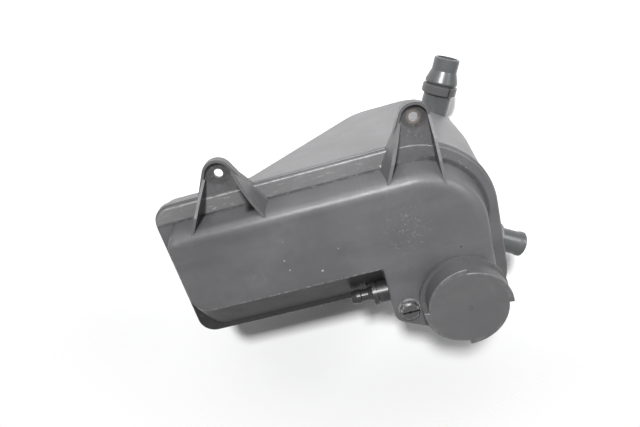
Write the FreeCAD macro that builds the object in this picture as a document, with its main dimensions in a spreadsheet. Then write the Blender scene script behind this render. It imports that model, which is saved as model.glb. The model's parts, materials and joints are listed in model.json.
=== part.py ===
import FreeCAD, Part
import math
import os
import Sketcher

# Coolant expansion tank: two welded plastic shells, screw cap with valves, bleed screw,
# three hose nipples and a level float. Millimetres. +Z is up along the cap axis.
# The origin lies midway between the two fixing holes, on the underside of the ears,
# which is also the plane where the two shells are welded together.

DOC = FreeCAD.newDocument("coolant_expansion_tank")
SHEET = DOC.addObject("Spreadsheet::Sheet", "sizes")

# Driving sizes: alias, value. X runs along the long straight edges, Y towards the ears.
SIZES = [
    # Shells
    ("wall", 2.8),
    ("flange_thick", 4.5),
    ("face_height", 27.0),
    ("flange_left", -131.3),
    ("flange_right", 119.5),
    ("flange_ear_side", -16.8),
    ("flange_cap_side", -131.1),
    ("lobe_left", 25.3),
    ("lobe_slant_y", -146.0),
    ("lobe_slant_x", 60.0),
    ("flange_corner_left", 15.0),
    ("flange_corner_right", 62.0),
    ("flange_corner_low", 13.0),
    ("cover_corner", 9.0),
    ("lobe_corner", 11.0),
    ("lobe_corner_wide", 25.0),
    ("notch_corner", 5.0),
    # Ledge between the flange edge and the foot of the raised wall
    ("ledge_ear_side", 12.4),
    ("ledge_left", 9.4),
    ("ledge_right", 8.5),
    ("ledge_cap_side", 4.6),
    # How far each raised wall leans in on its way up
    ("lean_ear_side", 4.0),
    ("lean_left", 1.0),
    ("lean_right", 4.5),
    ("lean_cap_side", 29.0),
    ("crease_round", 9.0),
    ("edge_round", 1.6),
    # Lower shell
    ("tank_depth", 118.0),
    ("shallow_depth", 18.0),
    ("slope_start", -59.0),
    ("slope_end", 32.0),
    ("slope_round_top", 14.0),
    ("slope_round_low", 30.0),
    ("bottom_round", 4.0),
    ("floor_corner_right", 45.0),
    ("swell_depth", 55.0),
    ("weld_lip", 0.8),
    ("lip_step", 1.2),
    # Fixing ears
    ("ear_span", 144.0),
    ("ear_stagger", 3.0),
    ("ear_arch", 11.4),
    ("ear_arch_flat", 0.4),
    ("ear_rim_high", 7.0),
    ("ear_rim_wide", 2.0),
    ("ear_floor", 4.0),
    ("ear_hole", 3.4),
    ("ear_seat", 9.0),
    ("ear_seat_deep", 1.2),
    ("ear_splay_wide", 17.0),
    ("ear_splay_mid", 15.0),
    ("ear_splay_none", -0.3),
    # Web from an ear's rim up to the cover: share of its run and height at each bend
    ("web_knee_at", 0.3),
    ("web_knee_high", 17.0),
    ("web_bend_at", 0.62),
    ("web_bend_high", 22.5),
    ("web_top", 25.0),
    ("web_bury", 3.0),
    ("web_top_far", 26.8),
    ("web_bury_far", 13.0),
    ("web_spread", 6.0),
    # Filler neck and cap
    ("neck_x", 78.8),
    ("neck_y", -134.0),
    ("neck_outer", 24.0),
    ("neck_bore", 20.0),
    ("neck_high", 14.0),
    ("neck_dip", 9.0),
    ("thread_tall", 2.0),
    ("neck_lobe_margin", 16.7),
    ("neck_ledge", 10.7),
    ("cap_rim", 33.0),
    ("cap_rim_thick", 3.4),
    ("cap_lift_gap", 2.0),
    ("cap_top_thick", 3.0),
    ("cap_high", 18.0),
    ("cap_lobe_high", 32.6),
    ("cap_lobe_low", 29.0),
    ("cap_edge_round", 0.8),
    ("cap_slack", 0.6),
    ("gate_mark", 2.2),
    ("gate_deep", 0.4),
    ("cap_clock", -6.0),
    # Valve unit inside the cap
    ("core_gap", 0.3),
    ("core_flange_thick", 1.0),
    ("core_collar_thick", 1.2),
    ("core_collar", 22.5),
    ("core_hook", 0.9),
    ("core_slack", 0.6),
    ("core_long", 24.0),
    ("core_wall", 2.6),
    ("core_floor", 2.2),
    ("core_lead", 1.5),
    ("seal_wire", 1.5),
    ("seal_slack", 0.3),
    ("seal_upper_drop", 7.0),
    ("seal_lower_drop", 15.0),
    ("lid_thick", 2.0),
    ("lid_port", 5.0),
    ("valve_port", 7.0),
    ("valve_plate_r", 10.5),
    ("valve_plate_thick", 1.6),
    ("valve_seal_thick", 1.2),
    ("pressure_coil_r", 8.6),
    ("pressure_wire", 0.8),
    ("pressure_turns", 5.0),
    ("poppet_r", 4.6),
    ("poppet_thick", 1.2),
    ("poppet_stem", 1.1),
    ("poppet_stem_long", 9.0),
    ("vacuum_coil_r", 2.7),
    ("vacuum_wire", 0.5),
    ("vacuum_turns", 3.0),
    ("clip_r", 3.4),
    ("clip_thick", 0.9),
    # Bleed screw
    ("bleed_x", 37.4),
    ("bleed_y", -136.5),
    ("bleed_ring", 8.2),
    ("bleed_ring_high", 1.5),
    ("bleed_head", 7.4),
    ("bleed_head_high", 4.2),
    ("bleed_shank", 4.2),
    ("bleed_long", 18.0),
    ("bleed_slack", 0.3),
    ("bleed_slot", 1.5),
    ("bleed_slot_deep", 2.2),
    ("bleed_eye", 1.2),
    ("bleed_seal_wire", 1.0),
    ("bleed_tube", 7.6),
    ("bleed_lead", 1.0),
    # Outlet nipple, low on the right shell
    ("outlet_in", 24.3),
    ("outlet_back", 16.1),
    ("outlet_z", -85.0),
    ("outlet_turn", 64.4),
    ("outlet_base", 11.8),
    ("outlet_ring", 14.3),
    ("outlet_barb", 13.4),
    ("outlet_tip", 10.5),
    ("outlet_bore", 8.2),
    ("outlet_boss", 14.6),
    ("outlet_ring_at", 23.6),
    ("outlet_ring_wide", 7.4),
    ("outlet_groove_wide", 1.8),
    ("outlet_barb_long", 10.0),
    ("outlet_long", 53.0),
    ("ring_split", 6.0),
    ("ring_split_clock", 205.0),
    ("ring_lead", 0.6),
    ("barb_land", 1.4),
    # Side nipple, right wall
    ("side_y", -124.6),
    ("side_z", -25.0),
    ("side_turn", -31.0),
    ("side_tube", 9.6),
    ("side_bead", 10.2),
    ("side_bead_wide", 3.0),
    ("side_bore", 7.4),
    ("side_long", 24.8),
    ("side_boss", 12.6),
    # Vent nipple in the notch
    ("vent_y", -123.8),
    ("vent_z", 15.1),
    ("vent_body", 9.0),
    ("vent_ring", 9.8),
    ("vent_tip", 5.4),
    ("vent_neck", 4.6),
    ("vent_bore", 3.0),
    ("vent_body_long", 9.0),
    ("vent_ring_wide", 3.0),
    ("vent_cone_long", 4.0),
    ("vent_long", 29.0),
    ("vent_step", 1.2),
    ("vent_barb_back", 7.0),
    ("vent_barb_land", 3.0),
    ("vent_scallop", 10.8),
    ("vent_scallop_long", 16.0),
    ("nipple_root", 6.0),
    ("nipple_lead", 0.9),
    ("nipple_slack", 0.1),
    # Level float and the dry well that takes a level switch from below
    ("well_x", 62.0),
    ("well_y", -92.0),
    ("well_outer", 9.0),
    ("well_bore", 7.0),
    ("well_high", 58.0),
    ("float_outer", 19.0),
    ("float_slack", 0.8),
    ("float_high", 16.0),
    ("float_lead", 1.5),
    ("float_rest", 8.0),
    ("magnet_wide", 3.0),
    ("magnet_high", 5.0),
    ("stop_wide", 3.5),
    ("stop_thick", 2.0),
    ("stop_drop", 5.0),
]


class Size:
    """A number together with the spreadsheet expression that it comes from."""

    def __init__(self, value, text):
        self.value = value
        self.text = text

    def __add__(self, other):
        other = as_size(other)
        return Size(self.value + other.value, f"({self.text} + {other.text})")

    def __sub__(self, other):
        other = as_size(other)
        return Size(self.value - other.value, f"({self.text} - {other.text})")

    def __mul__(self, other):
        other = as_size(other)
        return Size(self.value * other.value, f"({self.text} * {other.text})")

    def __truediv__(self, other):
        other = as_size(other)
        return Size(self.value / other.value, f"({self.text} / {other.text})")

    def __neg__(self):
        return Size(-self.value, f"(0 - {self.text})")

    def __radd__(self, other):
        return as_size(other) + self

    def __rsub__(self, other):
        return as_size(other) - self

    def __rmul__(self, other):
        return as_size(other) * self


def as_size(number):
    """Wrap a plain number so that it can stand next to a Size."""
    if isinstance(number, Size):
        return number
    return Size(float(number), f"({float(number)!r})")


def root(size):
    """Square root of a Size."""
    return Size(math.sqrt(size.value), f"sqrt({size.text})")


class SizeTable:
    """The spreadsheet's aliases as attributes."""


def fill_sheet():
    """Write the driving sizes into the sheet and return them by alias."""
    table = SizeTable()
    for row, (alias, value) in enumerate(SIZES, start=1):
        SHEET.set(f"A{row}", alias)
        SHEET.set(f"B{row}", str(value))
        SHEET.setAlias(f"B{row}", alias)
        setattr(table, alias, Size(value, f"sizes.{alias}"))
    DOC.recompute()
    return table


S = fill_sheet()
ZERO = as_size(0)


# Sketch helpers

def bind(sketch, constraint, size):
    """Add one dimension to a sketch and tie it to the sheet."""
    index = sketch.addConstraint(constraint)
    sketch.setExpression(f"Constraints[{index}]", size.text)


def pin_point(sketch, geometry, end, x, y):
    """Fix one sketch point at x, y by dimensions from the sketch origin."""
    bind(sketch, Sketcher.Constraint("DistanceX", -1, 1, geometry, end, x.value), x)
    bind(sketch, Sketcher.Constraint("DistanceY", -1, 1, geometry, end, y.value), y)


def draw_polygon(sketch, points):
    """Closed polygon whose corners are all tied to the sheet."""
    points = [(as_size(x), as_size(y)) for x, y in points]
    vectors = [FreeCAD.Vector(x.value, y.value, 0) for x, y in points]
    count = len(points)
    for k in range(count):
        sketch.addGeometry(Part.LineSegment(vectors[k], vectors[(k + 1) % count]), False)
    for k in range(count):
        sketch.addConstraint(Sketcher.Constraint("Coincident", k, 2, (k + 1) % count, 1))
    for k, (x, y) in enumerate(points):
        pin_point(sketch, k, 1, x, y)


def draw_rounded(sketch, corners):
    """Closed outline of straight sides with an arc of its own radius at each corner."""
    corners = [(as_size(x), as_size(y), as_size(r)) for x, y, r in corners]
    spots = [FreeCAD.Vector(x.value, y.value, 0) for x, y, r in corners]
    count = len(corners)
    starts, ends, arcs = [], [], []
    for k in range(count):
        radius = corners[k][2].value
        back = (spots[k - 1] - spots[k]).normalize()
        ahead = (spots[(k + 1) % count] - spots[k]).normalize()
        half = back.getAngle(ahead) / 2
        reach = radius / math.tan(half)
        centre = spots[k] + (back + ahead).normalize() * (radius / math.sin(half))
        first = spots[k] + back * reach
        last = spots[k] + ahead * reach
        turns_left = back.cross(ahead).z < 0
        begin, finish = (first, last) if turns_left else (last, first)
        circle = Part.Circle(centre, FreeCAD.Vector(0, 0, 1), radius)
        angle_a = math.atan2(begin.y - centre.y, begin.x - centre.x)
        angle_b = math.atan2(finish.y - centre.y, finish.x - centre.x)
        arcs.append((Part.ArcOfCircle(circle, angle_a, angle_b), turns_left))
        starts.append(first)
        ends.append(last)
    for k in range(count):
        sketch.addGeometry(Part.LineSegment(ends[k], starts[(k + 1) % count]), False)
    for arc, turns_left in arcs:
        sketch.addGeometry(arc, False)
    for spot in spots:
        sketch.addGeometry(Part.Point(spot), True)
    for k, (x, y, r) in enumerate(corners):
        arc, point, before = count + k, 2 * count + k, (k - 1) % count
        enter, leave = (1, 2) if arcs[k][1] else (2, 1)
        sketch.addConstraint([
            Sketcher.Constraint("Tangent", before, 2, arc, enter),
            Sketcher.Constraint("Tangent", arc, leave, k, 1),
            Sketcher.Constraint("PointOnObject", point, 1, before),
            Sketcher.Constraint("PointOnObject", point, 1, k),
        ])
        bind(sketch, Sketcher.Constraint("Radius", arc, r.value), r)
        pin_point(sketch, point, 1, x, y)


def level_outline(label, corners, level):
    """A rounded outline lying flat at the height level."""
    sketch = DOC.addObject("Sketcher::SketchObject", label)
    draw_rounded(sketch, corners)
    put(sketch, ZERO, ZERO, level)
    return sketch


def put(thing, x, y, z, rotation=None):
    """Place an object at x, y, z and tie the place to the sheet."""
    x, y, z = as_size(x), as_size(y), as_size(z)
    spot = FreeCAD.Vector(x.value, y.value, z.value)
    thing.Placement = FreeCAD.Placement(spot, rotation or FreeCAD.Rotation())
    for axis, size in (("x", x), ("y", y), ("z", z)):
        thing.setExpression(f"Placement.Base.{axis}", size.text)


# Solid helpers

def extrusion(label, sketch, length, direction=(0, 0, 1)):
    """Straight extrusion of a sketch along direction."""
    solid = DOC.addObject("Part::Extrusion", label)
    solid.Base = sketch
    solid.DirMode = "Custom"
    solid.Dir = FreeCAD.Vector(*direction)
    solid.Solid = True
    solid.setExpression("LengthFwd", as_size(length).text)
    return solid


def loft(label, sketches):
    """Ruled solid through outlines that have matching corners."""
    solid = DOC.addObject("Part::Loft", label)
    solid.Sections = sketches
    solid.Solid = True
    solid.Ruled = True
    return solid


def cylinder(label, radius, height, x, y, z, rotation=None):
    """Part cylinder standing at x, y, z."""
    solid = DOC.addObject("Part::Cylinder", label)
    solid.setExpression("Radius", as_size(radius).text)
    solid.setExpression("Height", as_size(height).text)
    put(solid, x, y, z, rotation)
    return solid


def fuse(label, solids):
    """Union of several solids."""
    union = DOC.addObject("Part::MultiFuse", label)
    union.Shapes = solids
    union.Refine = True
    return union


def cut(label, base, tool):
    """base with tool taken away."""
    result = DOC.addObject("Part::Cut", label)
    result.Base = base
    result.Tool = tool
    result.Refine = True
    return result


def rounded(label, base, radii):
    """Round the edges of base: radii(edge) gives a start and end radius, or None."""
    DOC.recompute()
    fillet = DOC.addObject("Part::Fillet", label)
    fillet.Base = base
    chosen = []
    for number, edge in enumerate(base.Shape.Edges, start=1):
        pair = radii(edge)
        if pair:
            chosen.append((number, pair[0], pair[1]))
    fillet.Edges = chosen
    return fillet


def origin_plane(body, role):
    """One of a body's own origin planes."""
    return next(item for item in body.Origin.OriginFeatures if item.Role == role)


def body_sketch(body, label, role):
    """A new sketch on one of the body's origin planes."""
    sketch = body.newObject("Sketcher::SketchObject", label)
    sketch.AttachmentSupport = (origin_plane(body, role), [""])
    sketch.MapMode = "FlatFace"
    return sketch


def turned(label, profile, x, y, z, rotation=None, angle=360):
    """PartDesign body turned about its own Z axis from radius, height corners."""
    body = DOC.addObject("PartDesign::Body", label)
    sketch = body_sketch(body, label + "_profile", "XZ_Plane")
    draw_polygon(sketch, profile)
    revolve = body.newObject("PartDesign::Revolution", label + "_revolve")
    revolve.Profile = sketch
    revolve.ReferenceAxis = (sketch, ["V_Axis"])
    revolve.setExpression("Angle", as_size(angle).text)
    body.Tip = revolve
    put(body, x, y, z, rotation)
    return body


# Sides of an O-ring's and a spring wire's section, which keeps their meshes small.
RING_SIDES = 10
WIRE_SIDES = 6


def ring_seal(label, centre_radius, wire, x, y, z):
    """O-ring turned from a many-sided section."""
    section = []
    for k in range(RING_SIDES):
        angle = 2 * math.pi * (k + 0.5) / RING_SIDES
        section.append((centre_radius + wire * math.cos(angle), wire * math.sin(angle)))
    return turned(label, section, x, y, z)


def coil_spring(label, coil_radius, wire, turns, height, x, y, z):
    """Round-wire compression spring standing on z, height being over the wire."""
    helix = DOC.addObject("Part::Helix", label + "_path")
    helix.setExpression("Radius", coil_radius.text)
    helix.setExpression("Height", (height - 2 * wire).text)
    helix.setExpression("Pitch", ((height - 2 * wire) / turns).text)
    section = DOC.addObject("Part::RegularPolygon", label + "_wire")
    section.Polygon = WIRE_SIDES
    section.setExpression("Circumradius", wire.text)
    section.Placement = FreeCAD.Placement(
        FreeCAD.Vector(coil_radius.value, 0, 0), FreeCAD.Rotation(FreeCAD.Vector(1, 0, 0), 90)
    )
    section.setExpression("Placement.Base.x", coil_radius.text)
    spring = DOC.addObject("Part::Sweep", label)
    spring.Sections = [section]
    spring.Spine = (helix, [])
    spring.Solid = True
    spring.Frenet = True
    put(spring, x, y, z + wire)
    return spring


def turn_about_z(degrees):
    """Rotation that lays the local Z axis level, pointing degrees from +X towards +Y."""
    level = FreeCAD.Rotation(FreeCAD.Vector(0, 1, 0), 90)
    return FreeCAD.Rotation(FreeCAD.Vector(0, 0, 1), degrees) * level


# Outlines shared by both shells. Corners run counter-clockwise seen from above:
# cap-side left, notch, bleed lobe, lobe slant, neck, ear-side right, ear-side left.

def flange_corners(inset, corner_right=S.flange_corner_right):
    """Outer outline of the weld flange, moved in by inset."""
    neck_reach = S.neck_outer + S.neck_lobe_margin
    return [
        (S.flange_left + inset, S.flange_cap_side + inset, S.flange_corner_low),
        (S.lobe_left + inset, S.flange_cap_side + inset, S.notch_corner + inset),
        (S.lobe_left + inset, S.lobe_slant_y + inset * 0.5, S.lobe_corner),
        (S.lobe_slant_x, S.neck_y - neck_reach + inset, S.lobe_corner_wide),
        (S.flange_right - inset, S.neck_y - neck_reach + inset, neck_reach - inset),
        (S.flange_right - inset, S.flange_ear_side - inset, corner_right - inset),
        (S.flange_left + inset, S.flange_ear_side - inset, S.flange_corner_left),
    ]


def raised_corners(share, inset):
    """Outline of the raised cover at share (0 at its foot, 1 at its face), moved in by inset."""
    left = S.flange_left + S.ledge_left + S.lean_left * share + inset
    right = S.flange_right - S.ledge_right - S.lean_right * share - inset
    ear_side = S.flange_ear_side - S.ledge_ear_side - S.lean_ear_side * share - inset
    cap_side = S.flange_cap_side + S.ledge_cap_side + S.lean_cap_side * share + inset
    neck_reach = S.neck_outer + S.neck_lobe_margin - S.neck_ledge
    neck_low = S.neck_y - neck_reach + inset
    corner_right = S.flange_corner_right - S.ledge_ear_side - inset
    return [
        (left, cap_side, S.flange_corner_low + share * 2),
        (S.lobe_left + inset, cap_side, S.edge_round + inset),
        (S.lobe_left + inset, S.lobe_slant_y + inset * 0.5, S.lobe_corner),
        (S.lobe_slant_x, neck_low, S.lobe_corner_wide - inset),
        (right, neck_low, neck_reach - inset),
        (right, ear_side, corner_right),
        (left, ear_side, S.cover_corner),
    ]


# Upper shell

def crease_radii(edge):
    """Soft round on the ear-side and right top edges, a crisp one on the rest."""
    low, high = edge.BoundBox.ZMin, edge.BoundBox.ZMax
    if low < S.face_height.value - 0.01:
        return None
    middle = edge.valueAt((edge.FirstParameter + edge.LastParameter) / 2)
    soft = S.crease_round.value
    crisp = S.edge_round.value
    far = middle.y > S.flange_ear_side.value - S.ledge_ear_side.value - 2 * soft
    right = middle.x > S.neck_x.value and middle.y > S.neck_y.value
    return (soft, soft) if far or right else (crisp, crisp)


def flange_radii(edge):
    """Small round on the flange's upper edge."""
    on_top = edge.BoundBox.ZMin > S.flange_thick.value - 0.01
    return (S.edge_round.value, S.edge_round.value) if on_top else None


def raised_cover():
    """The cover's raised body with its rounded top edges."""
    foot = level_outline("cover_foot", raised_corners(0, 0), S.flange_thick)
    face = level_outline("cover_face", raised_corners(1, 0), S.face_height)
    return loft("cover_block", [foot, face])


def cover_hollow():
    """Space inside the cover, open at the weld plane."""
    rise = S.face_height - S.flange_thick
    share_low = -S.flange_thick / rise
    share_top = (rise - S.wall) / rise
    low = level_outline("hollow_foot", raised_corners(share_low, S.wall), ZERO)
    top = level_outline("hollow_face", raised_corners(share_top, S.wall), S.face_height - S.wall)
    block = loft("hollow_block", [low, top])
    keep = vent_scallop("vent_scallop_wall", S.vent_scallop + S.wall, S.vent_scallop_long + S.wall)
    return cut("cover_hollow", block, keep)


def vent_scallop(label, radius, length):
    """Trough that clears the vent nipple along the sloping wall."""
    start = S.lobe_left
    return cylinder(label, radius, length, start, S.vent_y, S.vent_z, turn_about_z(180))


def ear_tray(name, x, y, splay_left, splay_right):
    """One fixing ear: arched tray with a rim, a seat, a hole and two gussets up to the cover."""
    foot = S.flange_ear_side - S.ledge_ear_side - S.lean_ear_side

    def arch(inset, drop):
        reach = S.ear_arch - inset
        corners = []
        for side, splay in ((-1, splay_left), (1, splay_right)):
            slant = splay / (y - foot)
            tilt = root(1 + slant * slant)
            low = (x + side * (reach * tilt + splay), foot - drop, S.edge_round)
            high = (x + side * reach * (tilt - slant), y + reach, reach - S.ear_arch_flat)
            corners.append((low, high))
        (left_low, left_high), (right_low, right_high) = corners
        return [left_low, right_low, right_high, left_high]

    outer = level_outline(name + "_outline", arch(0, 0), ZERO)
    tray = extrusion(name + "_tray", outer, S.ear_rim_high)
    inner = level_outline(name + "_inside", arch(S.ear_rim_wide, 1), S.ear_floor)
    dish = extrusion(name + "_dish", inner, S.ear_rim_high)
    hole = cylinder(name + "_hole", S.ear_hole, S.ear_rim_high * 2, x, y, -S.ear_floor)
    seat = cylinder(name + "_seat", S.ear_seat, S.ear_rim_high, x, y, S.ear_floor - S.ear_seat_deep)
    return cut(name, tray, fuse(name + "_cuts", [dish, hole, seat]))


def gusset(label, start, end, top, spread_left, spread_right):
    """Upright web that climbs steeply from an ear's rim into the cover; its foot may spread on the way."""
    run_x, run_y = end[0].value - start[0].value, end[1].value - start[1].value
    length = math.hypot(run_x, run_y)
    angle = math.degrees(math.atan2(run_y, run_x))
    left = (-run_y / length, run_x / length, 0)
    about_z = FreeCAD.Vector(0, 0, 1)
    upright = FreeCAD.Rotation(FreeCAD.Vector(1, 0, 0), 90)
    side = DOC.addObject("Sketcher::SketchObject", label + "_side")
    draw_polygon(side, [
        (0, 0),
        (length, 0),
        (length, top),
        (length * S.web_bend_at, S.web_bend_high),
        (length * S.web_knee_at, S.web_knee_high),
        (0, S.ear_rim_high),
    ])
    put(side, start[0] - spread_right * left[0], start[1] - spread_right * left[1], ZERO,
        FreeCAD.Rotation(about_z, angle) * upright)
    slab = extrusion(label + "_slab", side, S.ear_rim_wide + spread_left + spread_right, left)
    sections = []
    for name, spot, share in (("_start", start, 0), ("_end", end, 1)):
        section = DOC.addObject("Sketcher::SketchObject", label + name)
        draw_polygon(section, [
            (-spread_right * share, 0),
            (S.ear_rim_wide + spread_left * share, 0),
            (S.ear_rim_wide, top),
            (0, top),
        ])
        put(section, *spot, ZERO, FreeCAD.Rotation(about_z, angle + 90) * upright)
        sections.append(section)
    web = DOC.addObject("Part::Common", label)
    web.Base = slab
    web.Tool = loft(label + "_wedge", sections)
    return web


def ear_with_gussets(name, x, y, left_web, right_web):
    """An ear and its two webs; a web is its splay, spread, length inside the cover and end height."""
    foot = S.flange_ear_side - S.ledge_ear_side - S.lean_ear_side
    solids = [ear_tray(name, x, y, left_web[0], right_web[0])]
    for side, edge, web in ((-1, x - S.ear_arch, left_web), (1, x + S.ear_arch - S.ear_rim_wide, right_web)):
        splay, spread, bury, top = web
        stretch = (y - foot + bury) / (y - foot)
        end = (edge + side * splay * stretch, foot - bury)
        spreads = (spread, ZERO) if side > 0 else (ZERO, spread)
        label = name + ("_web_right" if side > 0 else "_web_left")
        solids.append(gusset(label, (edge, y), end, top, *spreads))
    return solids


def upper_shell():
    """Cover with flange, ears, filler neck, bleed boss and the vent nipple's trough."""
    outline = level_outline("flange_outline", flange_corners(ZERO), ZERO)
    slab = extrusion("flange_slab", outline, S.flange_thick)
    plate = rounded("flange_plate", slab, flange_radii)
    cover = rounded("cover_rounded", raised_cover(), crease_radii)
    half_span, half_stagger = S.ear_span / 2, S.ear_stagger / 2
    near, far = (S.web_bury, S.web_top), (S.web_bury_far, S.web_top_far)
    ears = ear_with_gussets("ear_left", -half_span, -half_stagger,
                            (S.ear_splay_wide, ZERO) + near, (S.ear_splay_mid, S.web_spread) + near)
    ears += ear_with_gussets("ear_right", half_span, half_stagger,
                             (S.ear_splay_wide, S.web_spread) + near, (S.ear_splay_none, ZERO) + far)
    bleed_ring = cylinder(
        "bleed_ring", S.bleed_ring, S.wall + S.bleed_ring_high,
        S.bleed_x, S.bleed_y, S.face_height - S.wall,
    )
    outside = fuse("upper_outside", [plate, cover, bleed_ring] + ears)
    trough = vent_scallop("vent_trough", S.vent_scallop, S.vent_scallop_long)
    hollowed = cut("upper_hollowed", outside, fuse("upper_hollows", [cover_hollow(), trough]))

    neck_foot = S.face_height - S.wall - S.neck_dip
    neck = cylinder("neck_tube", S.neck_outer, S.neck_dip + S.wall + S.neck_high,
                    S.neck_x, S.neck_y, neck_foot)
    bleed_tube = cylinder("bleed_tube", S.bleed_tube, S.bleed_long - S.wall,
                          S.bleed_x, S.bleed_y, S.face_height - S.bleed_long)
    solid = fuse("upper_solid", [hollowed, neck, bleed_tube])
    neck_bore = cylinder("neck_bore", S.neck_bore, (S.neck_dip + S.neck_high) * 2,
                         S.neck_x, S.neck_y, neck_foot - S.neck_dip)
    bleed_bore = cylinder("bleed_bore", S.bleed_shank + S.bleed_slack, S.bleed_long * 2,
                          S.bleed_x, S.bleed_y, S.face_height - S.bleed_long * 1.5)
    seal_seat = cylinder(
        "bleed_seat", S.bleed_shank + 2 * S.bleed_seal_wire + S.bleed_slack, S.bleed_long,
        S.bleed_x, S.bleed_y, S.face_height + S.bleed_ring_high - 2 * S.bleed_seal_wire - S.bleed_slack,
    )
    vent_hole = cylinder("vent_hole", S.vent_neck + S.nipple_slack, S.nipple_root * 2,
                         S.lobe_left - S.nipple_root, S.vent_y, S.vent_z, turn_about_z(0))
    return cut("upper_shell", solid, fuse("upper_bores", [neck_bore, bleed_bore, seal_seat, vent_hole]))


# Lower shell

def side_profile(label, lift):
    """Side view of the tank below the weld plane; lift raises the floor by a wall's thickness."""
    run = S.slope_end - S.slope_start
    drop = S.tank_depth - S.shallow_depth
    shift = lift * (root(run * run + drop * drop) - run) / drop
    far = S.flange_right + S.tank_depth
    sketch = DOC.addObject("Sketcher::SketchObject", label)
    draw_rounded(sketch, [
        (S.flange_left * 2, S.tank_depth, S.edge_round),
        (S.flange_left * 2, -S.shallow_depth + lift, S.edge_round),
        (S.slope_start + shift, -S.shallow_depth + lift, S.slope_round_top),
        (S.slope_end + shift, -S.tank_depth + lift, S.slope_round_low),
        (far, -S.tank_depth + lift, S.edge_round),
        (far, S.tank_depth, S.edge_round),
    ])
    upright = FreeCAD.Rotation(FreeCAD.Vector(1, 0, 0), 90)
    put(sketch, ZERO, S.tank_depth, ZERO, upright)
    return sketch


def tank_block(label, inset, lift):
    """Everything inside the plan outline and above the side profile's floor."""
    low = level_outline(label + "_low", flange_corners(inset, S.floor_corner_right), -S.tank_depth - S.wall)
    swell = level_outline(label + "_swell", flange_corners(inset, S.floor_corner_right), -S.swell_depth)
    top = level_outline(label + "_top", flange_corners(inset), ZERO)
    column = loft(label + "_column", [low, swell, top])
    side = extrusion(label + "_slice", side_profile(label + "_side", lift), S.tank_depth * 4, (0, -1, 0))
    block = DOC.addObject("Part::Common", label)
    block.Base = column
    block.Tool = side
    return block


# An edge whose direction has more than this share of Z runs up a wall, not round the floor.
UPRIGHT = 0.95


def floor_edges(edge):
    """The rim where the lower shell's floor turns up into its walls."""
    box = edge.BoundBox
    if box.ZMax > -S.shallow_depth.value + 0.01:
        return None
    direction = edge.tangentAt((edge.FirstParameter + edge.LastParameter) / 2)
    on_swell = box.ZLength < 0.01 and abs(box.ZMin + S.swell_depth.value) < 0.01
    if abs(direction.z) > UPRIGHT or on_swell:
        return None
    across = box.YLength > S.tank_depth.value * 0.8 and box.XLength < 0.01
    return None if across else (S.bottom_round.value, S.bottom_round.value)


def outlet_spot():
    """Where the outlet nipple's axis meets the lower shell's wall."""
    return S.flange_right - S.outlet_in, S.flange_ear_side - S.outlet_back, S.outlet_z


def side_spot():
    """Where the side nipple's axis meets the right wall."""
    return S.flange_right - S.weld_lip, S.side_y, S.side_z


def lower_shell():
    """Deep half of the tank with the weld lip, nipple bosses and the hole for the level well."""
    outer = rounded("lower_rounded", tank_block("lower_outer", S.weld_lip, ZERO), floor_edges)
    lip_plan = level_outline("lip_plan", flange_corners(-S.lip_step), -S.flange_thick)
    lip = extrusion("weld_lip", lip_plan, S.flange_thick)
    inset = S.nipple_root
    bosses = []
    bores = []
    for name, spot, turn, boss, bore in (
        ("outlet", outlet_spot(), S.outlet_turn, S.outlet_boss, S.outlet_base),
        ("side", side_spot(), S.side_turn, S.side_boss, S.side_tube),
    ):
        direction = turn_about_z(turn.value)
        back = FreeCAD.Vector(math.cos(math.radians(turn.value)), math.sin(math.radians(turn.value)), 0)
        start = [spot[0] - inset * 2 * back.x, spot[1] - inset * 2 * back.y, spot[2]]
        seat = [spot[0] - inset * back.x, spot[1] - inset * back.y, spot[2]]
        bosses.append(cylinder(name + "_boss", boss, inset * 2 + S.wall, *start, direction))
        bores.append(cylinder(name + "_seat", bore + S.nipple_slack, inset * 3, *seat, direction))
        bores.append(cylinder(name + "_duct", bore - S.wall, inset * 5, *start, direction))
    well_hole = cylinder("well_hole", S.well_outer + S.nipple_slack, S.wall * 3,
                         S.well_x, S.well_y, -S.tank_depth - S.wall)
    inner = tank_block("lower_inner", S.weld_lip + S.wall, S.wall)
    hollowed = cut("lower_hollowed", fuse("lower_outside", [outer, lip]), inner)
    solid = fuse("lower_solid", [hollowed] + bosses)
    return cut("lower_shell", solid, fuse("lower_bores", bores + [well_hole]))


# Hose nipples, moulded on their own and welded into the bosses

def outlet_nipple():
    """Large hose nipple with a seat for its split ring, a groove and a barb."""
    ring_end = S.outlet_ring_at + S.outlet_ring_wide
    barb = ring_end + S.outlet_groove_wide
    return turned("outlet_nipple", [
        (S.outlet_bore, -S.nipple_root),
        (S.outlet_base, -S.nipple_root),
        (S.outlet_base, S.outlet_ring_at),
        (S.outlet_base - S.seal_slack * 2, S.outlet_ring_at),
        (S.outlet_base - S.seal_slack * 2, ring_end),
        (S.outlet_base, ring_end),
        (S.outlet_base, barb - S.nipple_lead),
        (S.outlet_barb, barb),
        (S.outlet_barb, barb + S.barb_land),
        (S.outlet_tip, barb + S.outlet_barb_long),
        (S.outlet_tip, S.outlet_long - S.nipple_lead),
        (S.outlet_tip - S.nipple_lead, S.outlet_long),
        (S.outlet_bore, S.outlet_long),
    ], *outlet_spot(), turn_about_z(S.outlet_turn.value))


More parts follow.
